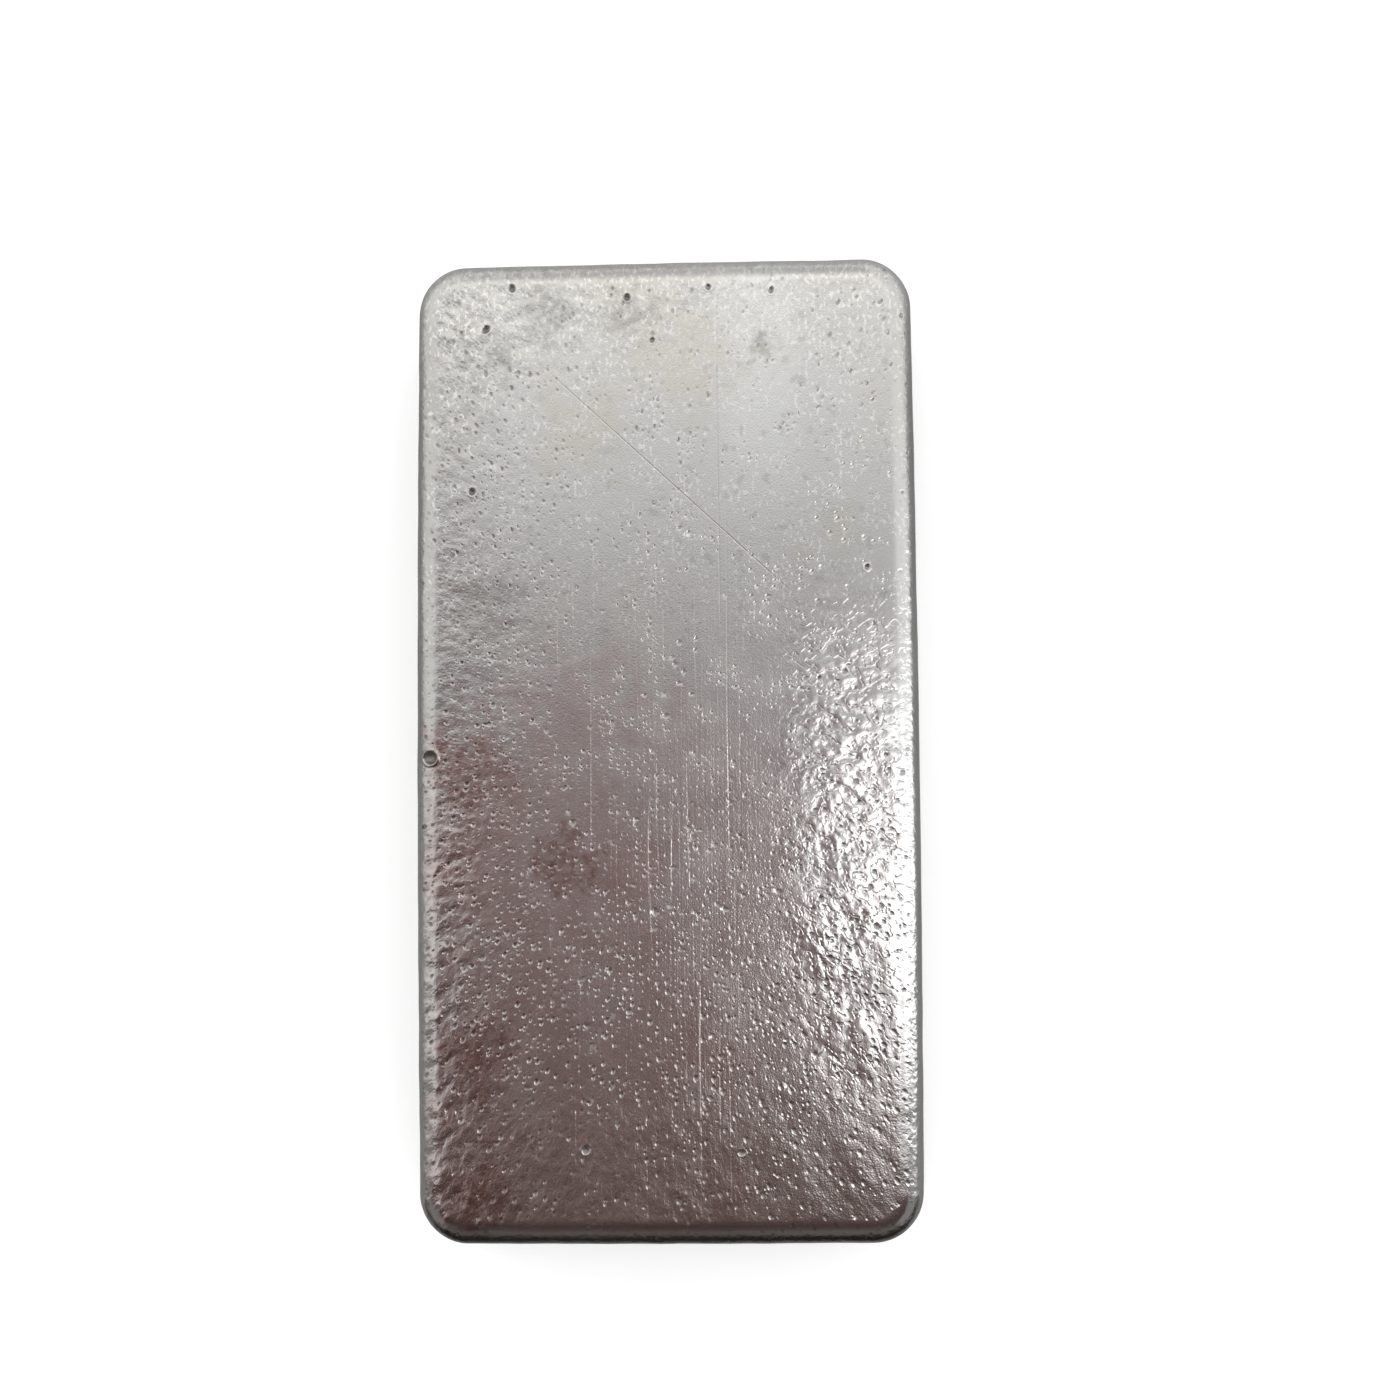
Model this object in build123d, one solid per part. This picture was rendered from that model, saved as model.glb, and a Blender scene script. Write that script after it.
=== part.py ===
"""A cast metal ingot: a flat bar poured in an open mould, about twice as long as wide.

It lies as it is seen, turned out of its mould: the face that froze against the mould floor is up,
and the face that was open to the air while it froze is down.
The frame is +Z up and +Y along the bar, with the origin in the middle of the plane that it rests on.
"""
import math
import os

from build123d import *

# Outline of the mould at its mouth, which is the widest section of the bar
length = 100.0
width = 52.0
corner_radius = 5.8
side_bow = 0.3
end_bow = 0.1

# Depth of the poured metal, and the draft that lets the bar drop out of its mould
thickness = 19.5
draft_angle = 3.0

# Edge round the mould floor, which the bar carries round its upper face
floor_fillet = 2.4

# Edge of the open face, drawn round by surface tension
meniscus_radius = 1.5

# Shrinkage hollow in the open face, inside a flat land that the bar rests on
rest_land = 5.0
hollow_depth = 1.2
cut_overrun = 0.5

# Gas holes broken open in the skin. A hole's centre lies outside the skin by a share of its radius.
crater_radius = 0.8
blowhole_radius = 0.5
pinhole_radius = 0.38
hole_rise_share = 0.25

# The crater opens in the rounded left edge, leaning out from the vertical by this angle
crater_lean = 28.0
crater_along_share = -0.020

# Places of the other holes as shares of the upper face's half width and half length
blowhole_shares = (
    (-0.771, 0.524),
    (-0.607, 0.945),
    (-0.713, 0.860),
    (-0.143, 0.922),
    (-0.327, -0.811),
)
pinhole_shares = (
    (-0.043, 0.832),
    (0.184, 0.940),
    (0.436, 0.931),
    (0.805, 0.357),
    (0.285, -0.818),
)

# Density of fine silver, for the printed mass alone
silver_grams_per_cubic_mm = 0.01049

# Sizes that follow from those above
draft_inset = thickness * math.tan(math.radians(draft_angle))
floor_length = length - 2 * draft_inset
floor_width = width - 2 * draft_inset


def mouth_outline():
    """The outline of the mould's mouth: a rectangle with slightly bowed sides and round corners."""
    half_long = length / 2
    half_short = width / 2
    corners = {
        "near_left": (-half_short + side_bow, -half_long + end_bow),
        "near_right": (half_short - side_bow, -half_long + end_bow),
        "far_right": (half_short - side_bow, half_long - end_bow),
        "far_left": (-half_short + side_bow, half_long - end_bow),
    }
    sides = [
        ThreePointArc(corners["near_left"], (0, -half_long), corners["near_right"]),
        ThreePointArc(corners["near_right"], (half_short, 0), corners["far_right"]),
        ThreePointArc(corners["far_right"], (0, half_long), corners["far_left"]),
        ThreePointArc(corners["far_left"], (-half_short, 0), corners["near_left"]),
    ]
    outline = make_face(sides)
    return fillet(outline.vertices(), corner_radius)


def drafted_bar():
    """The bar as the mould shapes it: wide at the open face, narrower by the draft at the mould floor."""
    bar = extrude(mouth_outline(), amount=thickness)
    walls = bar.faces().filter_by(Plane.XY, reverse=True)
    bar = draft(walls, Plane.XY, draft_angle)
    upper_edges = bar.faces().sort_by(Axis.Z)[-1].edges()
    bar = fillet(upper_edges, floor_fillet)
    lower_edges = bar.faces().sort_by(Axis.Z)[0].edges()
    return fillet(lower_edges, meniscus_radius)


def arc_radius(half_span, rise):
    """Radius of the arc that rises by that much over that half span."""
    return (half_span**2 + rise**2) / (2 * rise)


def half_chord(radius, depth):
    """Half the chord of a circle, at that depth below its top."""
    return math.sqrt(radius**2 - (radius - depth) ** 2)


def shrinkage_hollow():
    """The shallow hollow that the last metal to freeze leaves: a cap of a large ring surface."""
    across_radius = arc_radius(width / 2 - rest_land, hollow_depth)
    along_radius = arc_radius(length / 2 - rest_land, hollow_depth)
    cut_height = hollow_depth + cut_overrun
    cut_half = half_chord(across_radius, cut_height)
    section = Plane.XZ * make_face(
        [
            ThreePointArc((-cut_half, -cut_overrun), (0, hollow_depth), (cut_half, -cut_overrun)),
            Line((cut_half, -cut_overrun), (-cut_half, -cut_overrun)),
        ]
    )
    pivot = Axis((0, 0, hollow_depth - along_radius), (1, 0, 0))
    swing = math.degrees(math.asin(half_chord(along_radius, cut_height) / along_radius))
    return revolve(section.rotate(pivot, -swing), pivot, 2 * swing)


def gas_holes(shares, radius):
    """Round-bottomed holes in the upper face, at the places that the shares give."""
    rise = radius * hole_rise_share
    return [
        Pos(x_share * floor_width / 2, y_share * floor_length / 2, thickness + rise) * Sphere(radius)
        for x_share, y_share in shares
    ]


def edge_crater():
    """The largest hole, square to the rounded left edge of the upper face."""
    wall_turn = math.radians(90 - draft_angle)
    fillet_reach = floor_fillet * math.tan(wall_turn / 2)
    lean = math.radians(crater_lean)
    from_fillet_axis = floor_fillet + crater_radius * hole_rise_share
    return Pos(
        -floor_width / 2 + fillet_reach - from_fillet_axis * math.sin(lean),
        crater_along_share * floor_length / 2,
        thickness - floor_fillet + from_fillet_axis * math.cos(lean),
    ) * Sphere(crater_radius)


def ingot():
    """The whole bar, which is one casting."""
    holes = gas_holes(blowhole_shares, blowhole_radius) + gas_holes(pinhole_shares, pinhole_radius)
    return drafted_bar() - shrinkage_hollow() - edge_crater() - holes


os.makedirs("parts", exist_ok=True)
bar = ingot()
export_step(bar, "parts/ingot.step")
print("volume in cubic millimetres:", round(bar.volume, 1))
print("size in millimetres:", [round(v, 3) for v in bar.bounding_box().size])
print("mass in fine silver, in grams:", round(bar.volume * silver_grams_per_cubic_mm, 1))
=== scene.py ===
"""A cast metal ingot and its skin of orange peel, gas pits, scratches and tarnish, in a plain studio."""

import math
import random

import bmesh
import bpy
from bpy.props import FloatProperty, FloatVectorProperty, IntProperty, PointerProperty
from mathutils import Matrix, Vector, kdtree, noise


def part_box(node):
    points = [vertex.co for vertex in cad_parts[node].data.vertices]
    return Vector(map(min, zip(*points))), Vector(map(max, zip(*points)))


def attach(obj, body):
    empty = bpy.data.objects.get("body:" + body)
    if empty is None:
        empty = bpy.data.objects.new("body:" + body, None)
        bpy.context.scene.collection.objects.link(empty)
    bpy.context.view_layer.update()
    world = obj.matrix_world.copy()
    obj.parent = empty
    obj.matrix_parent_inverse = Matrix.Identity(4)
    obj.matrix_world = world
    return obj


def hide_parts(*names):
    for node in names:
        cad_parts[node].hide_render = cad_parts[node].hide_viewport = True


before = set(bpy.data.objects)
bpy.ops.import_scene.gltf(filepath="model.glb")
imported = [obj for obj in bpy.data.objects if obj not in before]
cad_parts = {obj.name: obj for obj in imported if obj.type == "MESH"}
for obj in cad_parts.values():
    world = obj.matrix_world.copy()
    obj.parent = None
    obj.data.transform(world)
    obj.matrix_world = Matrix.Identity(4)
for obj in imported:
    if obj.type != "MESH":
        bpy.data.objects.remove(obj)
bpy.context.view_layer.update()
bar_low, bar_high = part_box("ingot")

bl_info = {
    "name": "Cast metal ingot",
    "version": (1, 0, 0),
    "blender": (4, 5, 0),
    "location": "3D View > Sidebar > Ingot",
    "description": "Makes a cast metal ingot and the studio that it lies in",
    "category": "Add Mesh",
}

MM = 0.001
PIECE = "ingot"
HOLE_ATTRIBUTE = "hole_depth"

# Places of the gas holes as shares of the upper face's half width and half length, as the solid has them
BLOWHOLE_SHARES = ((-0.771, 0.524), (-0.607, 0.945), (-0.713, 0.860), (-0.143, 0.922), (-0.327, -0.811))
PINHOLE_SHARES = ((-0.043, 0.832), (0.184, 0.940), (0.436, 0.931), (0.805, 0.357), (0.285, -0.818))
CRATER_SHARES = (-0.942, -0.020)

# Depths of the gas holes, and how far their rims stand up
BLOWHOLE_DEPTH = 0.26 * MM
PINHOLE_DEPTH = 0.17 * MM
CRATER_DEPTH = 0.50 * MM
HOLE_RIM = 0.012 * MM
CRATER_RIM = 0.10 * MM

# Profiles of the dents: the higher the number, the flatter a dent's bottom and the steeper its wall
PIT_PROFILE = 2.6
HOLE_PROFILE = 1.9
CRATER_PROFILE = 3.0

# How far the mesh is cut finer: round a hole, round the crater, and past the edge of a small pit
HOLE_REACH = 0.75 * MM
CRATER_REACH = 1.25 * MM
PIT_MARGIN = 0.12 * MM

# How far the upper face's relief is let down, which keeps its peaks close to the solid's height
RELIEF_DROP = 0.03 * MM

# Heights under which a point counts as in the rest plane, and as in the flat land round the hollow
REST_TOLERANCE = 1e-7
LAND_TOLERANCE = 0.05 * MM

# Painted glints: bright specks that stand in for light off tiny burrs; and a painted sheen, a paler band of
# the metal
GLINT_COLOUR = (0.99, 0.985, 0.96)
SHEEN_COLOUR = (0.93, 0.93, 0.925)

# What the metal mirrors: the sides of the tent, its near corners, its near wall and the bright strip
LEFT_LIGHT = (0.78, 0.78, 0.77)
RIGHT_LIGHT = (0.80, 0.80, 0.80)
CORNER_LIGHT = (0.24, 0.23, 0.23)
NEAR_WALL_LOW = (0.014, 0.010, 0.009)
NEAR_WALL_HIGH = (0.110, 0.102, 0.100)
STRIP_LIGHT = (0.95, 0.95, 0.95)
STRIP_BOOST = 1.4

# The ground that the metal mirrors: beside the bar, past its far end and before its near end
GROUND_BESIDE = (0.27, 0.27, 0.27)
GROUND_FAR = (0.48, 0.48, 0.48)
GROUND_NEAR = (0.016, 0.012, 0.011)

# Sizes of the studio, in metres
FLOOR_SIZE = (6, 6)
TENT_SIZE = (1.2, 1.6)
GROUND_SIZE = (1.1, 1.5)
GROUND_HEIGHT = 0.0003
LAMP_SIZE = (0.18, 0.085)
LAMP_PLACE = (0.148, -0.001)
LAMP_GAP = 0.005

# The camera: its lean from overhead and its roll in degrees, its sensor, and its shift in pixels of the frame
LEAN_NEAR = 4.2
LEAN_RIGHT = 2.85
ROLL = -0.46
SENSOR_WIDTH = 36
FRAME_PIXELS = 1400
SHIFT_RIGHT = 34.0
SHIFT_UP = 45.2

# What the tent shows along the bar: how far a place leans from overhead towards the far end, and its colour
TENT_STOPS = (
    (-2.00, (0.125, 0.112, 0.108)),
    (-1.30, (0.088, 0.072, 0.068)),
    (-0.70, (0.060, 0.042, 0.038)),
    (-0.28, (0.096, 0.064, 0.057)),
    (-0.12, (0.158, 0.109, 0.103)),
    (0.00, (0.198, 0.146, 0.142)),
    (0.10, (0.252, 0.217, 0.219)),
    (0.17, (0.455, 0.455, 0.462)),
    (0.30, (0.715, 0.720, 0.722)),
    (0.42, (0.960, 0.945, 0.905)),
    (0.55, (1.000, 0.985, 0.930)),
    (0.80, (0.860, 0.850, 0.820)),
    (1.20, (0.600, 0.600, 0.595)),
    (2.00, (0.480, 0.480, 0.480)),
)

# The two longest scratches in the upper face, in millimetres: both ends, the half width and the depth
SCRATCHES = (
    ((-12.9, 39.0), (13.5, 14.3), 0.10, 0.009),
    ((5.4, 43.0), (5.5, 11.0), 0.13, 0.009),
)

# Stains in the upper face, in millimetres: the middle, the radius, and the name of the film
STAINS = (
    ((-19.6, -2.0), 5.5, "brown_film"),
    ((-18.6, -30.9), 4.0, "brown_film"),
    ((-9.8, -11.5), 3.2, "brown_film"),
    ((-9.0, 2.6), 7.5, "mauve_film"),
    ((-18.6, -44.0), 4.0, "brown_film"),
    ((-6.7, -25.1), 4.0, "clean_film"),
    ((2.3, -14.5), 4.5, "clean_film"),
    ((-1.0, -14.0), 0.7, "grey_film"),
    ((-11.3, 43.5), 3.0, "grey_film"),
    ((-2.8, 43.3), 2.6, "grey_film"),
    ((9.8, 40.7), 1.7, "grey_film"),
    ((-16.4, 39.0), 2.2, "grey_film"),
    ((2.7, 38.6), 6.0, "yellow_film"),
    ((-8.5, 32.0), 5.0, "yellow_film"),
    ((16.5, 21.2), 4.0, "yellow_film"),
    ((-16.5, 15.0), 3.0, "grey_film"),
)


def length_setting(name, description, default):
    """A size that a user may change, in metres."""
    return FloatProperty(name=name, description=description, default=default, precision=5, unit="LENGTH")


def share_setting(name, description, default):
    """A share from 0 to 1 that a user may change."""
    return FloatProperty(name=name, description=description, default=default, min=0, max=1, subtype="FACTOR")


def colour_setting(name, description, default):
    """A colour that a user may change."""
    return FloatVectorProperty(
        name=name, description=description, default=default, size=3, min=0, max=1, subtype="COLOR"
    )


class BarForm(bpy.types.PropertyGroup):
    """The sizes of the bar's form"""

    draft: FloatProperty(
        name="Draft",
        description="Lean of the sides, which lets the bar drop out of its mould",
        default=math.radians(3.0),
        subtype="ANGLE",
    )
    mouth_corner: length_setting("Mouth corner", "Corner radius at the mould's mouth", 5.8 * MM)
    side_bow: length_setting("Side bow", "How far the long sides bow out", 0.3 * MM)
    end_bow: length_setting("End bow", "How far the ends bow out", 0.1 * MM)
    upper_round: length_setting("Upper round", "Radius of the edge round the upper face", 2.4 * MM)
    lower_round: length_setting("Lower round", "Radius of the edge round the open face", 1.5 * MM)
    land: length_setting("Land", "Width of the flat land round the shrinkage hollow", 5.0 * MM)
    hollow: length_setting("Hollow", "Depth of the shrinkage hollow in the open face", 1.2 * MM)
    cells_across: IntProperty(name="Cells across", description="Coarse cells across the bar", default=43)
    fine_cuts: IntProperty(name="Fine cuts", description="Cuts of each cell in the upper part", default=2)
    pit_cuts: IntProperty(name="Pit cuts", description="Cuts of each fine cell round a gas pit", default=4)


class SkinRelief(bpy.types.PropertyGroup):
    """The relief that casting leaves in the bar's skin"""

    seed: IntProperty(name="Seed", description="Start of the random draws", default=7)
    wave: length_setting("Wave", "Height of the long waves in the upper face", 0.03 * MM)
    peel: length_setting("Peel", "Height of the orange peel where it is strongest", 0.034 * MM)
    peel_size: length_setting("Peel size", "Distance between the lumps of the orange peel", 1.6 * MM)
    pits: IntProperty(name="Pits", description="Number of small gas pits in the upper face", default=600)
    pit_radius: length_setting("Pit radius", "Usual radius of a small gas pit", 0.16 * MM)
    pit_slope: share_setting("Pit slope", "Depth of a small gas pit as a share of its radius", 0.17)
    blowhole: length_setting("Blowhole", "Radius of the larger gas holes", 0.42 * MM)
    pinhole: length_setting("Pinhole", "Radius of the smaller gas holes", 0.33 * MM)
    crater: length_setting("Crater", "Radius of the crater in the left edge", 0.70 * MM)
    wall_wave: length_setting("Wall wave", "Height of the waves in the sides", 0.05 * MM)
    ripple: length_setting("Ripple", "Height of the cooling ripples in the open face", 0.06 * MM)


class MetalFinish(bpy.types.PropertyGroup):
    """The colours and the gloss of the metal"""

    metal: colour_setting("Metal", "Cast metal under a thin film", (0.80, 0.79, 0.775))
    clean_film: colour_setting("Clean film", "Metal with the film rubbed off", (0.84, 0.84, 0.84))
    yellow_film: colour_setting("Yellow film", "The faint yellow tarnish", (0.78, 0.75, 0.68))
    # The mauve film is tarnish; over the lower half of the upper face it also paints in part of the dark warm
    # reflection
    mauve_film: colour_setting("Mauve film", "The faint reddish tarnish", (0.73, 0.62, 0.61))
    brown_film: colour_setting("Brown film", "The stronger brown tarnish", (0.50, 0.34, 0.31))
    grey_film: colour_setting("Grey film", "The dark mottled oxide", (0.56, 0.55, 0.53))
    # The sides' skin is duller metal, drawn darker in part as painted shade for the grey lines along the
    # edges
    wall_skin: colour_setting("Wall skin", "The duller skin of the sides", (0.66, 0.65, 0.64))
    # Dark oxide in the gas holes, which also serves as painted shade that darkens the small pits and dims
    # their glints
    soot_and_pit_shade: colour_setting("Soot", "Dark oxide inside the gas holes", (0.20, 0.18, 0.16))
    roughness: share_setting("Roughness", "Roughness of the smooth skin", 0.18)


class StudioSetup(bpy.types.PropertyGroup):
    """The camera, the floor and the light"""

    floor: colour_setting("Floor", "The plain floor", (0.98, 0.98, 0.98))
    floor_lift: share_setting("Floor lift", "How much brighter the camera sees the floor", 0.26)
    distance: length_setting("Distance", "From the camera to the middle of the upper face", 250 * MM)
    focal: FloatProperty(name="Focal length", description="In millimetres on a 36 mm sensor", default=64.9)
    tent_height: length_setting("Tent height", "Height of the tent's roof", 420 * MM)
    lamp_level: FloatProperty(name="Lamp level", description="Brightness of the soft lamp", default=2.4)


# Shader maths

class Field:
    """A number that varies over a surface. Arithmetic on it adds the nodes that work it out."""

    def __init__(self, graph, socket):
        self.graph = graph
        self.socket = socket

    def __add__(self, other):
        return self.graph.maths("ADD", self, other)

    def __sub__(self, other):
        return self.graph.maths("SUBTRACT", self, other)

    def __mul__(self, other):
        return self.graph.maths("MULTIPLY", self, other)

    def __truediv__(self, other):
        return self.graph.maths("DIVIDE", self, other)

    def __pow__(self, other):
        return self.graph.maths("POWER", self, other)

    def __rsub__(self, other):
        return self.graph.maths("SUBTRACT", other, self)

    def __rtruediv__(self, other):
        return self.graph.maths("DIVIDE", other, self)

    __radd__ = __add__
    __rmul__ = __mul__

    def __neg__(self):
        return 0 - self

    def __abs__(self):
        return self.graph.maths("ABSOLUTE", self)

    def clamped(self):
        """This number held between 0 and 1."""
        result = self.graph.maths("ADD", self, 0)
        result.socket.node.use_clamp = True
        return result


class Graph:
    """A node tree that expressions add their nodes to."""

    def __init__(self, tree):
        self.tree = tree
        tree.nodes.clear()

    def node(self, kind, settings=None, **inputs):
        """A node of any type: its settings first, then a value or a link for each named socket."""
        made = self.tree.nodes.new(kind)
        for key, value in (settings or {}).items():
            setattr(made, key, value)
        for key, value in inputs.items():
            label = key.replace("_", " ")
            socket = made.inputs[int(key[1:])] if key[1:].isdigit() else made.inputs[label]
            self.feed(socket, value)
        return made

    def feed(self, socket, value):
        """Links a socket to a field, or to another node's socket, or sets it to a plain value."""
        if isinstance(value, Field):
            self.tree.links.new(value.socket, socket)
        elif isinstance(value, bpy.types.NodeSocket):
            self.tree.links.new(value, socket)
        elif isinstance(value, (tuple, Vector)) and socket.type == "RGBA":
            socket.default_value = (*value, 1)
        else:
            socket.default_value = value

    def field(self, socket):
        return Field(self, socket)

    def maths(self, operation, *operands):
        inputs = {f"i{index}": value for index, value in enumerate(operands)}
        return Field(self, self.node("ShaderNodeMath", {"operation": operation}, **inputs).outputs[0])

    def vector(self, operation, *operands, scale=None):
        inputs = {f"i{index}": value for index, value in enumerate(operands)}
        if scale is not None:
            inputs["Scale"] = scale
        return self.node("ShaderNodeVectorMath", {"operation": operation}, **inputs).outputs[0]

    def mix(self, factor, first, second):
        """The first colour where the factor is 0, and the second where it is 1."""
        made = self.node("ShaderNodeMix", {"data_type": "RGBA"}, i0=factor, i6=first, i7=second)
        return made.outputs[2]

    def split(self, vector):
        made = self.node("ShaderNodeSeparateXYZ", Vector=vector)
        return [Field(self, made.outputs[index]) for index in range(3)]

    def join(self, x, y, z):
        return self.node("ShaderNodeCombineXYZ", X=x, Y=y, Z=z).outputs[0]

    def ramp(self, value, low, high):
        """A smooth step from 0 at the first bound to 1 at the second, which may be the lower one."""
        made = self.node(
            "ShaderNodeMapRange",
            {"interpolation_type": "SMOOTHSTEP"},
            Value=value,
            From_Min=low,
            From_Max=high,
        )
        return Field(self, made.outputs[0])

    def bands(self, value, stops):
        """A colour that follows a value through a few stops, each one a value and its colour."""
        low, high = stops[0][0], stops[-1][0]
        made = self.node("ShaderNodeValToRGB", Fac=(value - low) / (high - low))
        points = made.color_ramp.elements
        points[1].position = 1.0
        points[0].color = (*stops[0][1], 1)
        points[1].color = (*stops[-1][1], 1)
        for stop, shade in stops[1:-1]:
            points.new((stop - low) / (high - low)).color = (*shade, 1)
        return made.outputs[0]

    def noise(self, place, scale, detail=2.0, roughness=0.5, kind="2D"):
        """Cloudy noise round a half: in plan alone, or all through the metal with the kind 3D."""
        made = self.node(
            "ShaderNodeTexNoise",
            {"noise_dimensions": kind},
            Vector=place,
            Scale=scale,
            Detail=detail,
            Roughness=roughness,
        )
        return Field(self, made.outputs[0])

    def cells(self, place, scale):
        """Cells in plan: the distance to the nearest one's middle, and a random number for each."""
        made = self.node("ShaderNodeTexVoronoi", {"voronoi_dimensions": "2D"}, Vector=place, Scale=scale)
        return Field(self, made.outputs["Distance"]), self.split(made.outputs["Color"])[0]


def new_material(name):
    material = bpy.data.materials.new(name)
    material.use_nodes = True
    return material, Graph(material.node_tree)


# The bar's form

class BarShape:
    """Maps a plain box to the drafted bar with rounded corners and edges."""

    def __init__(self, form):
        self.form = form
        self.height = bar_high.z
        mouth_inset = self.rise(form.lower_round, math.pi / 2 + form.draft) * math.cos(form.draft)
        mouth_inset *= math.tan(form.draft)
        half_short = (bar_high.x - bar_low.x) / 2 + mouth_inset
        half_long = (bar_high.y - bar_low.y) / 2 + mouth_inset
        self.half = Vector((half_short, half_long))
        self.lean = self.height * math.tan(form.draft)
        self.floor_half = self.half - Vector((self.lean, self.lean))
        self.upper_turn = math.pi / 2 - form.draft
        self.lower_turn = math.pi / 2 + form.draft
        self.upper_reach = self.rise(form.upper_round, self.upper_turn)
        self.lower_reach = self.rise(form.lower_round, self.lower_turn)

    @staticmethod
    def rise(radius, turn):
        """How far from a sharp corner an arc of that turn starts."""
        return radius * math.tan(turn / 2)

    def section(self, inset, height, upper, lower):
        """The inset from the outline and the height of a box point, once both edges are round."""
        form = self.form
        share = height / self.height
        if upper or self.height - height < self.upper_reach:
            along = inset if upper else height - self.height
            if along >= self.upper_reach:
                return along + self.lean, self.height
            turn = self.upper_turn / 2 * (1 - along / self.upper_reach)
            return (
                self.lean + self.upper_reach - form.upper_round * math.sin(turn),
                self.height - form.upper_round * (1 - math.cos(turn)),
            )
        if lower or height < self.lower_reach:
            along = inset if lower else -height
            if along >= self.lower_reach:
                return along, 0.0
            turn = self.lower_turn / 2 * (1 - along / self.lower_reach)
            return (
                self.lower_reach - form.lower_round * math.sin(turn),
                form.lower_round * (1 - math.cos(turn)),
            )
        return self.lean * share, height

    def place(self, box):
        """The bar's point for a point of the box."""
        form = self.form
        corner_cell = form.mouth_corner
        side_x = math.copysign(1, box.x)
        side_y = math.copysign(1, box.y)
        in_x = abs(box.x) - (self.half.x - corner_cell)
        in_y = abs(box.y) - (self.half.y - corner_cell)
        inset = min(self.half.x - abs(box.x), self.half.y - abs(box.y))
        upper = box.z > self.height * 0.9999
        lower = box.z < self.height * 0.0001
        new_inset, new_height = self.section(inset, box.z, upper, lower)
        share = min(1.0, new_height / self.height)
        lean = self.lean * share
        corner = form.mouth_corner - lean
        core = self.half - Vector((lean + corner, lean + corner))
        stretch_x = core.x / (self.half.x - corner_cell)
        stretch_y = core.y / (self.half.y - corner_cell)
        if inset / corner_cell >= 1.0:
            return Vector((box.x * stretch_x, box.y * stretch_y, new_height))
        depth = new_inset - lean
        start = self.upper_reach if upper else self.lower_reach
        if (upper or lower) and inset >= start:
            depth = start + (inset - start) / (corner_cell - start) * (corner - start)
        out = corner - depth
        if in_x > 0 and in_y > 0:
            larger = max(in_x, in_y)
            turn = math.pi / 4 * in_y / larger if in_x >= in_y else math.pi / 2 - math.pi / 4 * in_x / larger
            x = core.x + out * math.cos(turn)
            y = core.y + out * math.sin(turn)
        elif in_x > in_y:
            x = core.x + out
            y = abs(box.y) * stretch_y
        else:
            x = abs(box.x) * stretch_x
            y = core.y + out
        x *= 1 - form.side_bow / self.half.x * (y / self.half.y) ** 2
        y *= 1 - form.end_bow / self.half.y * (x / self.half.x) ** 2
        return Vector((side_x * x, side_y * y, new_height))

    def hollow(self, point):
        """How far the open face has sunk at a point of the rest plane."""
        across = point.x / (self.half.x - self.form.land)
        along = point.y / (self.half.y - self.form.land)
        return max(0.0, self.form.hollow * (1 - across**2 - along**2))


def box_grid(bm, shape, cells_across, fine_cuts):
    """A box of square cells, with each cell of its upper part cut finer."""
    size = Vector((shape.half.x * 2, shape.half.y * 2, shape.height))
    bmesh.ops.create_cube(bm, size=1)
    bmesh.ops.translate(bm, verts=bm.verts, vec=(0, 0, 0.5))
    bmesh.ops.scale(bm, verts=bm.verts, vec=size)
    cell = size.x / cells_across
    for axis in range(3):
        count = round(size[axis] / cell)
        along = [e for e in bm.edges if abs((e.verts[0].co - e.verts[1].co)[axis]) > cell * 1.5]
        bmesh.ops.subdivide_edges(bm, edges=along, cuts=count - 1, use_grid_fill=True)
    fine_from = shape.height - cell * 2.2
    fine = {e for f in bm.faces if f.calc_center_median().z > fine_from for e in f.edges}
    bmesh.ops.subdivide_edges(bm, edges=list(fine), cuts=fine_cuts, use_grid_fill=True)


def refine(bm, marks, cuts):
    """Cuts the upper face's cells finer round each mark, which is a place and how far round it to cut."""
    upper = [f for f in bm.faces if f.normal.z > 0.5]
    tree = kdtree.KDTree(len(upper))
    for index, face in enumerate(upper):
        tree.insert(face.calc_center_median().to_2d().to_3d(), index)
    tree.balance()
    near = {found[1] for place, reach in marks for found in tree.find_range(Vector((*place[:2], 0)), reach)}
    edges = {e for index in near for e in upper[index].edges}
    bmesh.ops.subdivide_edges(bm, edges=list(edges), cuts=cuts, use_grid_fill=True)
    bmesh.ops.triangulate(bm, faces=[f for f in bm.faces if len(f.verts) > 4])


def smooth_step(value, low, high):
    share = min(1.0, max(0.0, (value - low) / (high - low)))
    return share * share * (3 - 2 * share)


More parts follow.
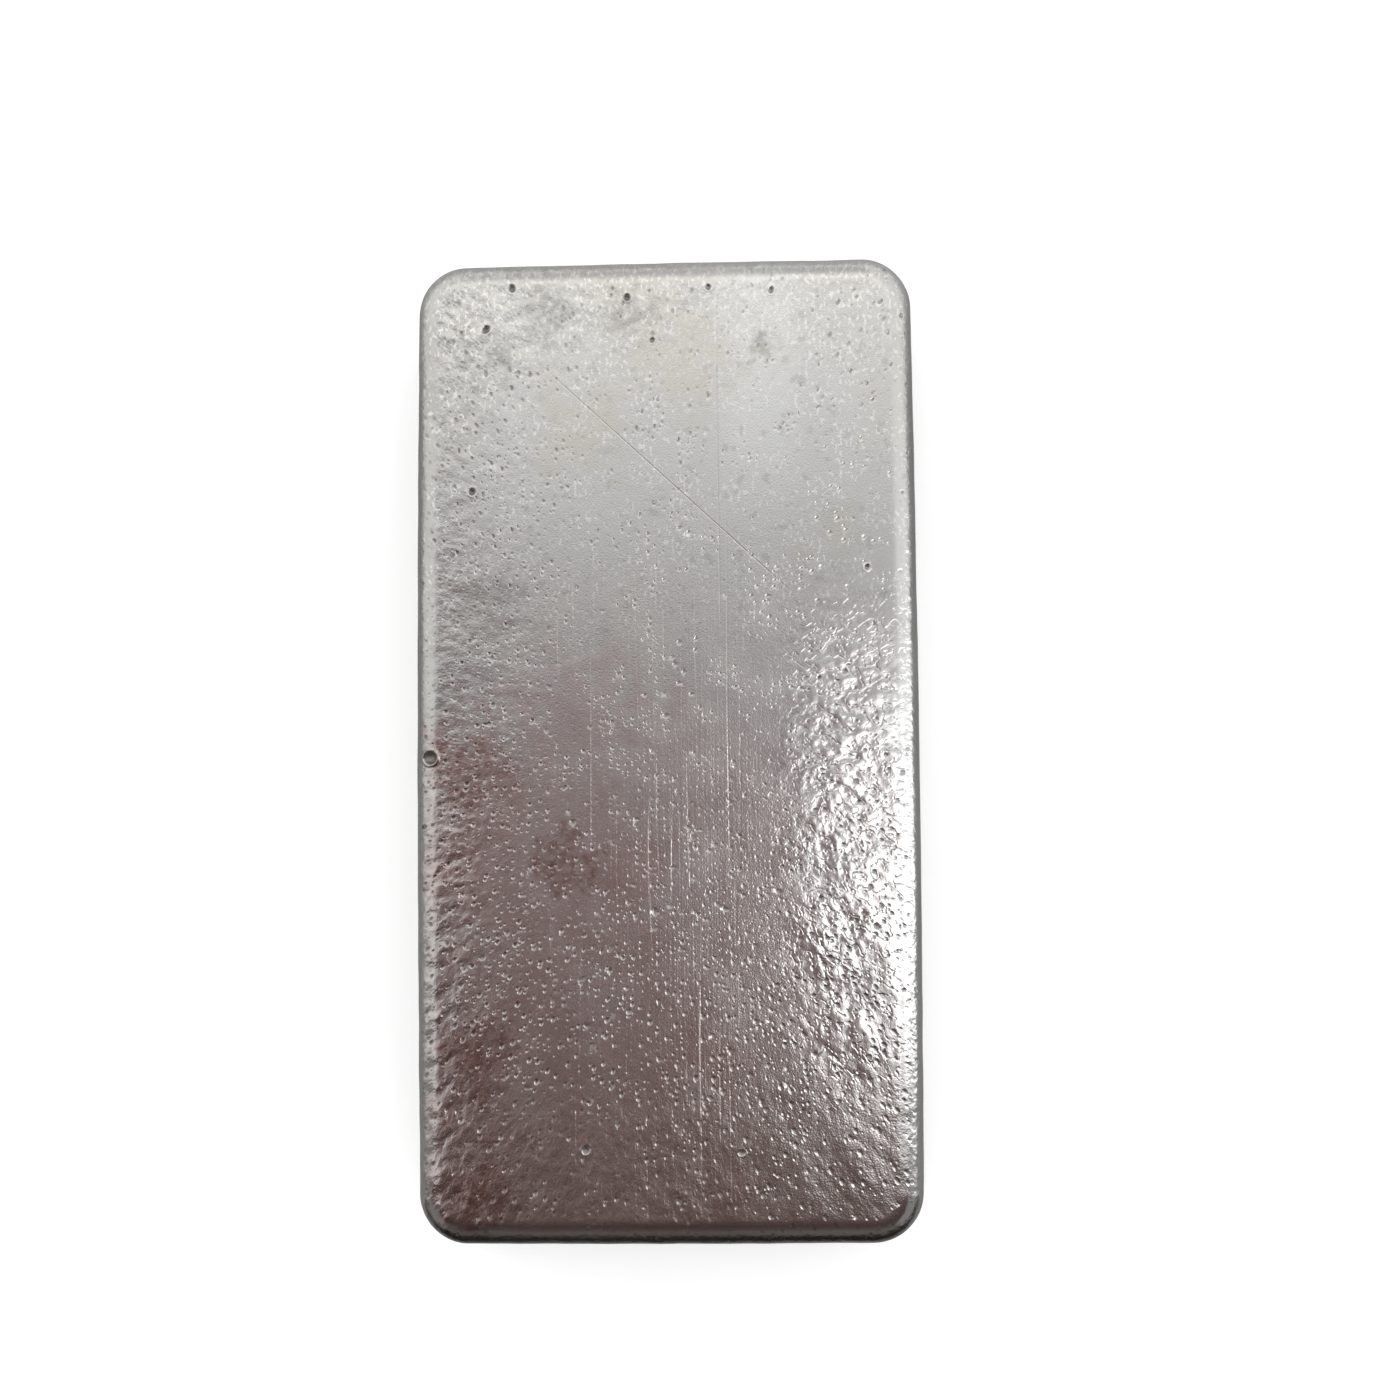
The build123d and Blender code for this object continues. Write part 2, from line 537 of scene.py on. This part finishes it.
class Relief:
    """Heights of the skin, in metres, at points of the finished form."""

    def __init__(self, settings, shape):
        self.settings = settings
        self.shape = shape

    def coarseness(self, point):
        """How rough the upper face is: 0 in the brushed middle, 1 at the rim where the metal froze first."""
        across = point.x / self.shape.floor_half.x
        along = point.y / self.shape.floor_half.y
        right = smooth_step(across, 0.35, 0.85) * smooth_step(-along, -0.35, 0.15)
        left = smooth_step(-across, 0.45, 0.95)
        far = smooth_step(along, 0.70, 0.95)
        near = smooth_step(-along, 0.25, 0.95) * 0.6
        return min(1.0, 0.12 + 0.85 * right + 0.55 * left + 0.75 * far + 0.5 * near)

    def peel(self, point):
        """Orange peel: soft lumps that grow longer away from the middle, where the metal flowed outwards."""
        flat = Vector((point.x, point.y, 0))
        reach = flat.length
        stretch = 40 * MM
        share = stretch / reach * math.log(1 + reach / stretch) if reach > MM else 1.0
        place = flat * (share * 1.35 / self.settings.peel_size)
        place.z = 3.1
        lumps = 1 - 2.4 * abs(noise.noise(place)) ** 0.8
        broad = noise.noise(place * 0.45 + Vector((5, 9, 1)))
        return self.settings.peel * self.coarseness(point) * (broad - 0.25 * lumps)

    def wave(self, point):
        return self.settings.wave * noise.noise(Vector((point.x, point.y, 0.02)) / (14 * MM))

    def wall(self, point):
        """The mould wall's print: long waves, and finer ones that run down the wall."""
        broad = noise.noise(point / (6 * MM))
        fine = noise.noise(Vector((point.x, point.y, point.z * 0.5)) / (2.2 * MM) + Vector((4, 4, 4)))
        return self.settings.wall_wave * (broad + 0.5 * fine)

    def ripples(self, point):
        """Rings that the open face froze in, from the rim inwards."""
        form = self.shape
        ring = max(abs(point.x) / form.half.x, abs(point.y) / form.half.y)
        bend = noise.noise(point / (12 * MM))
        return self.settings.ripple * math.sin((ring + 0.06 * bend) * 60) * (1 - 0.6 * ring)


def pit_places(settings, shape, relief):
    """Where the small gas pits lie, with each one's radius, depth, stretch and direction."""
    draws = random.Random(settings.seed)
    pits = []
    while len(pits) < settings.pits:
        x = draws.uniform(-1, 1) * (shape.floor_half.x - 0.6 * MM)
        y = draws.uniform(-1, 1) * (shape.floor_half.y - 0.6 * MM)
        point = Vector((x, y, 0))
        crowd = 0.10 + 0.40 * noise.noise(point / (6 * MM)) + 0.55 * smooth_step(-y, -16 * MM, 6 * MM)
        crowd += 0.2 * smooth_step(abs(x), 8 * MM, 20 * MM) - 0.35 * smooth_step(-y, 32 * MM, 44 * MM)
        crowd -= 0.35 * smooth_step(-x, 16 * MM, 21 * MM)
        crowd -= 0.40 * smooth_step(x, 8 * MM, 16 * MM) * smooth_step(-y, 18 * MM, 28 * MM)
        if draws.random() > crowd:
            continue
        rough = relief.coarseness(point)
        radius = settings.pit_radius * min(1.8, draws.lognormvariate(0, 0.24)) * (0.9 + 0.25 * rough)
        depth = settings.pit_slope * radius * min(1.6, draws.lognormvariate(0, 0.25))
        stretch = 1 + 0.6 * min(1.0, point.length / (50 * MM)) * draws.random()
        turn = math.atan2(y, x) + draws.gauss(0, 0.25)
        pits.append((point, radius, depth, stretch, turn))
    return pits


class SkinPress:
    """Presses dents into the upper face's vertices, found by their place in plan."""

    def __init__(self, bm, layer):
        self.layer = layer
        self.verts = [v for v in bm.verts if v.normal.z > 0.35]
        self.tree = kdtree.KDTree(len(self.verts))
        for index, vert in enumerate(self.verts):
            self.tree.insert(Vector((vert.co.x, vert.co.y, 0)), index)
        self.tree.balance()
        self.sink = [0.0] * len(self.verts)

    def dent(self, place, radius, depth, profile, stretch=1.0, turn=0.0, rim=0.0):
        """A bowl stretched along a direction, with a rim that may stand up."""
        reach = radius * stretch
        cos_turn, sin_turn = math.cos(turn), math.sin(turn)
        for found, index, _ in self.tree.find_range(Vector((place[0], place[1], 0)), reach * 1.6):
            x = found.x - place[0]
            y = found.y - place[1]
            along = (x * cos_turn + y * sin_turn) / reach
            across = (y * cos_turn - x * sin_turn) / radius
            out = math.hypot(along, across)
            if out < 1:
                self.sink[index] += depth * (1 - out**profile) ** (4 / profile)
            if rim and out < 1.6:
                self.sink[index] -= rim * math.exp(-(((out - 1.12) / 0.2) ** 2))

    def apply(self):
        for vert, sink in zip(self.verts, self.sink):
            vert.co -= vert.normal * sink
            vert[self.layer] = max(0.0, sink / MM)


def make_bar_mesh(form, relief_settings):
    """The bar's mesh: a box grid that is mapped to the bar's form and then given its relief."""
    shape = BarShape(form)
    relief = Relief(relief_settings, shape)
    bm = bmesh.new()
    box_grid(bm, shape, form.cells_across, form.fine_cuts)
    floor = shape.floor_half
    blowholes = [(x * floor.x, y * floor.y) for x, y in BLOWHOLE_SHARES]
    pinholes = [(x * floor.x, y * floor.y) for x, y in PINHOLE_SHARES]
    crater = (CRATER_SHARES[0] * floor.x, CRATER_SHARES[1] * floor.y)
    pits = pit_places(relief_settings, shape, relief)
    for vert in bm.verts:
        vert.co = shape.place(vert.co)
        if vert.co.z < REST_TOLERANCE:
            vert.co.z = shape.hollow(vert.co)
    bmesh.ops.recalc_face_normals(bm, faces=bm.faces)
    bm.normal_update()
    marks = [(place, HOLE_REACH) for place in blowholes + pinholes] + [(crater, CRATER_REACH)]
    marks += [(point, radius * stretch + PIT_MARGIN) for point, radius, _, stretch, _ in pits]
    refine(bm, marks, form.pit_cuts)
    bm.normal_update()
    layer = bm.verts.layers.float.new(HOLE_ATTRIBUTE)
    for vert in bm.verts:
        up = smooth_step(vert.normal.z, 0.25, 0.75)
        down = smooth_step(-vert.normal.z, 0.55, 0.95)
        side = 1 - up - down
        height = up * (relief.wave(vert.co) + relief.peel(vert.co))
        height += side * relief.wall(vert.co)
        if down and vert.co.z > LAND_TOLERANCE:
            height += down * relief.ripples(vert.co)
        vert.co += vert.normal * (height - RELIEF_DROP * up)
    press = SkinPress(bm, layer)
    for point, radius, depth, stretch, turn in pits:
        press.dent(point, radius, depth, PIT_PROFILE, stretch, turn)
    holes = (
        (blowholes, relief_settings.blowhole, BLOWHOLE_DEPTH, 1.9),
        (pinholes, relief_settings.pinhole, PINHOLE_DEPTH, 2.3),
    )
    for places, radius, depth, turn_step in holes:
        for index, place in enumerate(places):
            stretch = 1.05 + 0.15 * (index % 3)
            press.dent(place, radius, depth, HOLE_PROFILE, stretch, index * turn_step, HOLE_RIM)
    press.dent(crater, relief_settings.crater, CRATER_DEPTH, CRATER_PROFILE, rim=CRATER_RIM)
    press.apply()
    for face in bm.faces:
        face.smooth = True
    mesh = bpy.data.meshes.new(PIECE)
    bm.to_mesh(mesh)
    bm.free()
    return mesh


# Materials

def outward_flow(graph, place, start):
    """Coordinates in which a pattern grows, and grows longer, away from the middle of the face."""
    x, y, _ = graph.split(place)
    flat = graph.join(x, y, 0.0)
    reach = graph.field(graph.node("ShaderNodeVectorMath", {"operation": "LENGTH"}, i0=flat).outputs["Value"])
    shrunk = graph.maths("LOGARITHM", reach / start + 1.0001, math.e)
    return graph.vector("SCALE", place, scale=shrunk * start / (reach + 0.00001))


def bowls(graph, place, scale, share_with, largest):
    """Soft round bowls, one in some of the cells of a pattern: 0 outside, 1 at the bottom of the largest."""
    gap, kind = graph.cells(place, scale)
    size = ((kind - (1 - share_with)) / share_with).clamped()
    radius = (size * 0.65 + 0.35) * largest
    inside = (1 - (gap / radius) ** 2.0).clamped()
    return inside * inside * radius / largest * graph.ramp(size, 0.0, 0.05)


def scratch(graph, x, y, start, end, half_width):
    """A groove between two points of the upper face: 1 in its middle, 0 outside it."""
    start, end = Vector(start) * MM, Vector(end) * MM
    way = (end - start).normalized()
    middle = (start + end) / 2
    reach = (end - start).length
    beyond = abs(x * way.x + y * way.y - middle.dot(way))
    aside = abs(y * way.x - x * way.y - (middle.y * way.x - middle.x * way.y))
    return graph.ramp(aside, half_width * MM, 0) * graph.ramp(beyond, reach * 0.5, reach * 0.35)


def stain(graph, x, y, centre, radius, ragged):
    """A blot with a ragged edge: 1 in its middle, 0 outside it."""
    out = graph.join(x - centre[0] * MM, y - centre[1] * MM, 0.0)
    far = graph.field(graph.node("ShaderNodeVectorMath", {"operation": "LENGTH"}, i0=out).outputs["Value"])
    return graph.ramp(far / (radius * MM) + (ragged - 0.5) * 3.6, 1.2, 0.3)


def skin_heights(graph, place, upward, rounded):
    """The fine relief of the skin, in millimetres, and how far a place lies in one of its pits."""
    x, y, _ = graph.split(place)

    # Where the face is rough: its left, its ends, the glare at its right, and the rims
    left = graph.ramp(x, -0.009, -0.020)
    far = graph.ramp(y - x * 0.25, 0.037, 0.050)
    near = graph.ramp(y, 0.006, -0.030)
    right = graph.ramp(x, 0.009, 0.017) * graph.ramp(abs(y + 0.010), 0.030, 0.016)
    near_rim = graph.ramp(y, -0.030, -0.042) * (1 - graph.ramp(x, 0.0, 0.012) * 0.65)
    clusters = graph.ramp(graph.noise(place, 260, detail=1), 0.50, 0.60)
    left_rim = graph.ramp(x, -0.0170, -0.0225)
    near_left = left_rim * graph.ramp(y, 0.002, -0.012)
    mottling = left * 0.010 + far * 0.040 + near * 0.006 + (near_rim + left_rim) * 0.018 + 0.002
    pitting = (near * 0.9 + left * 1.5) * (1 - near_rim * 0.6) * (1 - far * 0.8) * (1 - left_rim * 0.3)
    pitting = pitting + clusters * 0.90 + 0.15
    lumpiness = right * (1.3 - graph.ramp(x, 0.018, 0.023) * 0.8) + far * (2.2 + left * 1.0)
    lumpiness = lumpiness + left * 0.7 + left_rim * 0.8 + near_left * 3.4 + near_rim * 1.2 + 0.1

    # Waxy lumps with creases between them, longer away from the middle, and strongest at the right
    flow = outward_flow(graph, place, 30 * MM)
    mottle = graph.noise(flow, 2200, detail=2, roughness=0.62)
    swell = graph.noise(flow, 1050, detail=1, roughness=0.45) - 0.5
    creases = graph.ramp(abs(swell), 0.060, 0.0) * graph.ramp(mottle, 0.42, 0.56)
    small_pits = bowls(graph, flow, 1650, 0.65, 0.34)
    fine_pits = bowls(graph, flow, 2900, 0.45, 0.42)

    # Fine grain all over, and hairlines that brushing left along the middle
    grain = graph.noise(place, 6000, detail=0)
    brush = graph.noise(graph.vector("MULTIPLY", place, (3600.0, 60.0, 1.0)), 1, detail=1, roughness=0.7)
    scores = graph.noise(graph.vector("MULTIPLY", place, (1700.0, 45.0, 1.0)), 1, detail=0)

    heights = (mottle - 0.5) * mottling - (fine_pits * 0.009 + small_pits * 0.024) * pitting
    heights = heights + swell * lumpiness * 0.036 - creases * right * 0.012
    heights = heights + (grain - 0.5) * (1 - right * 0.8) * 0.004
    lines = (brush - 0.5) * 0.006 - graph.ramp(scores, 0.70, 0.84) * 0.005
    heights = heights + lines * graph.ramp(abs(x + 0.003), 0.014, 0.007)
    for start, end, half_width, depth in SCRATCHES:
        heights = heights - scratch(graph, x, y, start, end, half_width) * depth
    pebbles = graph.noise(place, 1500, detail=1, kind="3D")
    cavities = (small_pits * 0.7 + fine_pits * 0.3) * pitting
    return heights * upward + (pebbles - 0.5) * rounded * 0.060, cavities * upward


def tarnish(graph, place, finish, upward, rounded):
    """The colour of the metal under its films, with some painted light in it: glints, a sheen, part of the
    glare and of the dark reflection, and shade at the edges.
    """
    x, y, _ = graph.split(place)

    # Broad films: yellow in the upper half, mauve tarnish in the lower half that also paints in part of the
    # dark warm reflection there, and cleaner metal at its right that also paints in part of the glare
    yellow = graph.ramp(graph.noise(place, 55, detail=3), 0.48, 0.72)
    mauve = graph.ramp(graph.noise(graph.vector("ADD", place, (0.3, 0.1, 0.0)), 70, detail=4), 0.45, 0.75)
    lower_tint_and_reflection = graph.ramp(y, 0.010, -0.016) * graph.ramp(x, 0.018, 0.0)
    colour = graph.mix(yellow * (1 - lower_tint_and_reflection) * 0.35, finish.metal[:], finish.yellow_film[:])
    # Mauve tarnish over the lower half, which also paints in part of the dark warm reflection there
    colour = graph.mix(lower_tint_and_reflection * (0.35 + 0.65 * mauve), colour, finish.mauve_film[:])
    upper_half = graph.ramp(y, 0.002, 0.016)
    # Cleaner, paler metal at the right of the lower half, which also paints in part of the glare that falls
    # there
    colour = graph.mix(graph.ramp(x, 0.004, 0.018) * (1 - upper_half) * 0.8, colour, finish.clean_film[:])
    ragged = graph.noise(place, 300, detail=5, roughness=0.68)
    mottle = graph.ramp(graph.noise(place, 1300, detail=3, kind="3D"), 0.36, 0.64)

    # Grey oxide at the left and the far end, and a painted sheen: a paler band in the upper half
    blotchy = graph.ramp(y, 0.026, 0.046) * 0.4 + graph.ramp(x, -0.008, -0.022) * 0.5
    cloudy = graph.ramp(graph.noise(place, 620, detail=3, roughness=0.6), 0.47, 0.66)
    dulled = graph.ramp(x, -0.015, -0.022) * graph.ramp(y, -0.006, 0.006) * graph.ramp(y, 0.046, 0.040)
    colour = graph.mix(cloudy * blotchy * 0.45 + dulled * 0.30, colour, finish.grey_film[:])
    # Painted sheen: this band is drawn paler to stand for light that the metal mirrors there
    rubbed = graph.ramp(abs(x - 0.0095), 0.0060, 0.0015) * graph.ramp(y, 0.018, 0.034)
    colour = graph.mix(rubbed * 0.55, colour, SHEEN_COLOUR)

    # Painted glints, smudges, the scratches drawn darker, and the stains
    # Painted glints: specks drawn near white, standing in for light off tiny burrs
    glint_place = graph.vector("MULTIPLY", place, (1.25, 0.75, 1.0))
    painted_glints = graph.ramp(graph.noise(glint_place, 2200, detail=2), 0.56, 0.64)
    painted_glints = painted_glints * (graph.ramp(ragged, 0.46, 0.56) + graph.ramp(y, 0.034, 0.044)).clamped()
    smudges = graph.ramp(graph.noise(graph.vector("ADD", place, (0.2, 0.7, 0.0)), 620, detail=4), 0.62, 0.72)
    colour = graph.mix(painted_glints * upper_half, colour, GLINT_COLOUR)
    colour = graph.mix(smudges * upper_half * 0.45, colour, finish.grey_film[:])
    for start, end, half_width, _ in SCRATCHES:
        # The scratches are drawn darker, towards the grey film
        darker_groove = scratch(graph, x, y, start, end, half_width)
        colour = graph.mix(darker_groove * 0.45, colour, finish.grey_film[:])
    for centre, radius, film in STAINS:
        blot = stain(graph, x, y, centre, radius, ragged)
        strength = mottle * 0.55 + 0.35 if film in ("grey_film", "brown_film") else 0.60
        colour = graph.mix(blot * strength, colour, getattr(finish, film)[:])

    # The duller skin of the sides and the mottled grey oxide round the upper edge, both darker in part as
    # painted shade that outlines the edges; less of it at the right, where the glare falls
    oxide = graph.ramp(graph.noise(place, 150, detail=4, kind="3D"), 0.44, 0.62)
    skin = graph.mix(oxide * 0.6, finish.wall_skin[:], finish.grey_film[:])
    colour = graph.mix((1 - upward) * 0.9, colour, skin)
    edge_oxide_and_shade = rounded * (0.55 - graph.ramp(x, 0.0, 0.02) * 0.40)
    return graph.mix(mottle * edge_oxide_and_shade, colour, finish.grey_film[:])


def cast_metal(finish):
    """Pale cast metal: brushed in the middle, pitted towards the rim, with a thin film of tarnish."""
    material, graph = new_material("cast_metal_skin")
    place = graph.node("ShaderNodeTexCoord").outputs["Object"]
    normal = graph.split(graph.node("ShaderNodeNewGeometry").outputs["Normal"])
    upward = graph.ramp(normal[2], 0.35, 0.95)
    holes = graph.field(graph.node("ShaderNodeAttribute", {"attribute_name": HOLE_ATTRIBUTE}).outputs["Fac"])
    # Dark oxide in the deeper holes; in the small pits the same darkening is painted shade, which also dims
    # their glints
    hole_soot_and_pit_shade = graph.ramp(holes, 0.002, 0.020) * 0.46 + graph.ramp(holes, 0.05, 0.20) * 0.16

    rounded = 1 - graph.ramp(normal[2], 0.75, 0.99)
    heights, cavities = skin_heights(graph, place, upward, rounded)
    bump = graph.node("ShaderNodeBump", Strength=1.0, Distance=MM, Height=heights)
    colour = tarnish(graph, place, finish, upward, rounded)
    # The holes' dark oxide, and painted shade in the pits of the bump relief
    colour = graph.mix((hole_soot_and_pit_shade + cavities * 0.55).clamped(), colour, finish.soot_and_pit_shade[:])
    patch = graph.noise(place, 240, detail=2)
    right = graph.ramp(graph.split(place)[0], 0.004, 0.016)
    roughness = finish.roughness + (patch - 0.5) * 0.10 - right * 0.05 + rounded * 0.10
    roughness = roughness + hole_soot_and_pit_shade * 0.55 + cavities * 0.15
    shader = graph.node(
        "ShaderNodeBsdfPrincipled",
        Base_Color=colour,
        Metallic=1.0,
        Roughness=roughness,
        Normal=bump.outputs[0],
    )
    graph.node("ShaderNodeOutputMaterial", Surface=shader.outputs[0])
    return material


def floor_finish(setup):
    """A pale floor, a little brighter to the camera and in mirrors, so that it is white up to the shadow."""
    material, graph = new_material("plain_floor")
    matt = graph.node("ShaderNodeBsdfDiffuse", Color=setup.floor[:])
    rays = graph.node("ShaderNodeLightPath").outputs
    seen = (graph.field(rays["Is Camera Ray"]) + rays["Is Glossy Ray"]).clamped()
    glow = graph.node("ShaderNodeEmission", Color=(1.0, 1.0, 1.0), Strength=setup.floor_lift)
    lifted = graph.node("ShaderNodeAddShader", i0=matt.outputs[0], i1=glow.outputs[0])
    shader = graph.node("ShaderNodeMixShader", Fac=seen, i1=matt.outputs[0], i2=lifted.outputs[0])
    graph.node("ShaderNodeOutputMaterial", Surface=shader.outputs[0])
    return material


def tent_finish():
    """The tent that the metal reflects: bright over the far end, dark and warm over the near one."""
    material, graph = new_material("studio_tent")
    x, y, z = graph.split(graph.node("ShaderNodeTexCoord").outputs["Object"])
    rise = graph.maths("MAXIMUM", z - bar_high.z, 0.004)
    across = x / rise
    along = y / rise
    light = graph.bands(along, TENT_STOPS)
    left = graph.ramp(across, -0.10, -0.80) * graph.ramp(y, -0.15, -0.05)
    right = graph.ramp(across, 0.10, 0.60) * graph.ramp(y, -0.115, -0.040)
    light = graph.mix(left * 0.9, light, LEFT_LIGHT)
    light = graph.mix(right * 0.8, light, RIGHT_LIGHT)
    corners = graph.ramp(abs(x), 0.32, 0.52) * graph.ramp(y, 0.05, -0.15)
    light = graph.mix(corners * 0.9, light, CORNER_LIGHT)
    near_wall = graph.mix(graph.ramp(z, 0.07, 0.20), NEAR_WALL_LOW, NEAR_WALL_HIGH)
    light = graph.mix(graph.ramp(y, -0.72, -0.79), light, near_wall)

    # The strip is brightest close over the bar and at the right wall, and weaker between them
    strip = graph.ramp(x, 0.016, 0.048) * graph.ramp(y, -0.100, -0.015) * graph.ramp(y, 0.062, 0.018)
    dip = graph.ramp(x, 0.070, 0.130) * graph.ramp(x, 0.300, 0.220)
    light = graph.mix(strip, light, STRIP_LIGHT)
    light = graph.vector("SCALE", light, scale=1.0 + strip * (1 - dip * 0.70) * STRIP_BOOST)
    shader = graph.node("ShaderNodeEmission", Color=light, Strength=1.0)
    graph.node("ShaderNodeOutputMaterial", Surface=shader.outputs[0])
    material.cycles.emission_sampling = "NONE"
    return material


def ground_finish():
    """The ground that the metal reflects: grey beside the bar, pale at the far end, dark at the near one."""
    material, graph = new_material("reflected_ground")
    y = graph.split(graph.node("ShaderNodeTexCoord").outputs["Object"])[1]
    light = graph.mix(graph.ramp(y, 0.035, 0.075), GROUND_BESIDE, GROUND_FAR)
    light = graph.mix(graph.ramp(-y, 0.052, 0.085), light, GROUND_NEAR)
    shader = graph.node("ShaderNodeEmission", Color=light, Strength=1.0)
    graph.node("ShaderNodeOutputMaterial", Surface=shader.outputs[0])
    material.cycles.emission_sampling = "NONE"
    return material


# Operators

def finished_piece(mesh, material):
    """The piece as an object in the shared frame, riding on the bar's body in place of its plain solid."""
    piece = bpy.data.objects.new(PIECE + "_skin", mesh)
    bpy.context.scene.collection.objects.link(piece)
    mesh.materials.append(material)
    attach(piece, "root")
    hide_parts("ingot")
    return piece


class MakeBar(bpy.types.Operator):
    """Make the cast bar with its skin"""

    bl_idname = "ingot.make_bar"
    bl_label = "Cast bar"

    def execute(self, context):
        scene = context.scene
        mesh = make_bar_mesh(scene.bar_form, scene.skin_relief)
        finished_piece(mesh, cast_metal(scene.metal_finish))
        return {"FINISHED"}


def stage_object(bm, name, material):
    """An object that isn't part of the ingot, made from a finished bmesh."""
    mesh = bpy.data.meshes.new(name)
    bm.to_mesh(mesh)
    bm.free()
    mesh.materials.append(material)
    made = bpy.data.objects.new(name, mesh)
    bpy.context.scene.collection.objects.link(made)
    return made


def plane(name, size, height, material):
    """A flat card or floor, level at a height."""
    bm = bmesh.new()
    bmesh.ops.create_grid(bm, x_segments=1, y_segments=1, size=0.5)
    bmesh.ops.scale(bm, verts=bm.verts, vec=(*size, 1))
    bmesh.ops.translate(bm, verts=bm.verts, vec=(0, 0, height))
    return stage_object(bm, name, material)


def tent(setup):
    """A box of five walls round the bar, open below."""
    bm = bmesh.new()
    bmesh.ops.create_cube(bm, size=1)
    bmesh.ops.delete(bm, geom=[f for f in bm.faces if f.normal.z < -0.5], context="FACES")
    bmesh.ops.translate(bm, verts=bm.verts, vec=(0, 0, 0.5))
    bmesh.ops.scale(bm, verts=bm.verts, vec=(*TENT_SIZE, setup.tent_height))
    bmesh.ops.reverse_faces(bm, faces=bm.faces)
    return stage_object(bm, "tent", tent_finish())


def lamp(scene, setup):
    """A soft lamp overhead, a little to the right, which lights the floor and doesn't show in the metal."""
    data = bpy.data.lights.new("soft_lamp", "AREA")
    data.shape = "RECTANGLE"
    data.size, data.size_y = LAMP_SIZE
    data.energy = math.pi * data.size * data.size_y * setup.lamp_level
    light = bpy.data.objects.new("soft_lamp", data)
    scene.collection.objects.link(light)
    light.location = (*LAMP_PLACE, setup.tent_height - LAMP_GAP)
    light.visible_glossy = False


def reflected_only(card):
    """Shows a card in reflections alone, so that it neither hides the bar nor shades the floor."""
    card.visible_camera = False
    card.visible_diffuse = False
    card.visible_shadow = False


class LayStage(bpy.types.Operator):
    """Lay the floor, set the light and place the camera"""

    bl_idname = "ingot.lay_stage"
    bl_label = "Studio"

    def execute(self, context):
        scene = context.scene
        setup = scene.studio_setup
        plane("floor", FLOOR_SIZE, 0, floor_finish(setup))
        reflected_only(tent(setup))
        reflected_only(plane("reflected_ground", GROUND_SIZE, GROUND_HEIGHT, ground_finish()))
        lamp(scene, setup)

        world = bpy.data.worlds.new("studio")
        scene.world = world
        world.use_nodes = True
        graph = Graph(world.node_tree)
        backdrop = graph.node("ShaderNodeBackground", Color=(1.0, 1.0, 1.0), Strength=1.0)
        graph.node("ShaderNodeOutputWorld", Surface=backdrop.outputs[0])

        place_camera(scene, setup)
        scene.view_settings.view_transform = "Standard"
        return {"FINISHED"}


def place_camera(scene, setup):
    """The camera looks down on the upper face, leaning a little towards the near end and the right."""
    roll = math.radians(ROLL)
    aim = Vector((0, 0, bar_high.z))
    out = Vector((math.sin(math.radians(LEAN_RIGHT)), -math.sin(math.radians(LEAN_NEAR)), 0))
    out.z = math.sqrt(1 - out.length_squared)
    right = (-out).cross(Vector((0, 1, 0))).normalized()
    up = right.cross(-out)
    rolled_right = right * math.cos(roll) + up * math.sin(roll)
    rolled_up = up * math.cos(roll) - right * math.sin(roll)
    camera = bpy.data.objects.new("camera", bpy.data.cameras.new("camera"))
    scene.collection.objects.link(camera)
    turn = Matrix((rolled_right, rolled_up, out)).transposed()
    camera.matrix_world = Matrix.Translation(aim + out * setup.distance) @ turn.to_4x4()
    camera.data.sensor_width = SENSOR_WIDTH
    camera.data.lens = setup.focal
    camera.data.shift_x = SHIFT_RIGHT / FRAME_PIXELS
    camera.data.shift_y = SHIFT_UP / FRAME_PIXELS
    camera.data.clip_start = 0.01
    camera.data.clip_end = 20
    scene.camera = camera


class IngotPanel(bpy.types.Panel):
    """Lists what makes the ingot and its studio"""

    bl_idname = "VIEW3D_PT_ingot"
    bl_label = "Cast ingot"
    bl_space_type = "VIEW_3D"
    bl_region_type = "UI"
    bl_category = "Ingot"

    def draw(self, context):
        for name in SETTINGS:
            box = self.layout.box()
            for key in getattr(context.scene, name).bl_rna.properties.keys():
                if key not in ("rna_type", "name"):
                    box.prop(getattr(context.scene, name), key)
        for operator in (MakeBar, LayStage):
            self.layout.operator(operator.bl_idname)


SETTINGS = {
    "bar_form": BarForm,
    "skin_relief": SkinRelief,
    "metal_finish": MetalFinish,
    "studio_setup": StudioSetup,
}
CLASSES = (*SETTINGS.values(), MakeBar, LayStage, IngotPanel)


def register():
    for cls in CLASSES:
        bpy.utils.register_class(cls)
    for name, group in SETTINGS.items():
        setattr(bpy.types.Scene, name, PointerProperty(type=group))


def unregister():
    for name in SETTINGS:
        delattr(bpy.types.Scene, name)
    for cls in reversed(CLASSES):
        bpy.utils.unregister_class(cls)


def main():
    register()
    bpy.ops.ingot.lay_stage()
    bpy.ops.ingot.make_bar()


if __name__ == "__main__":
    main()
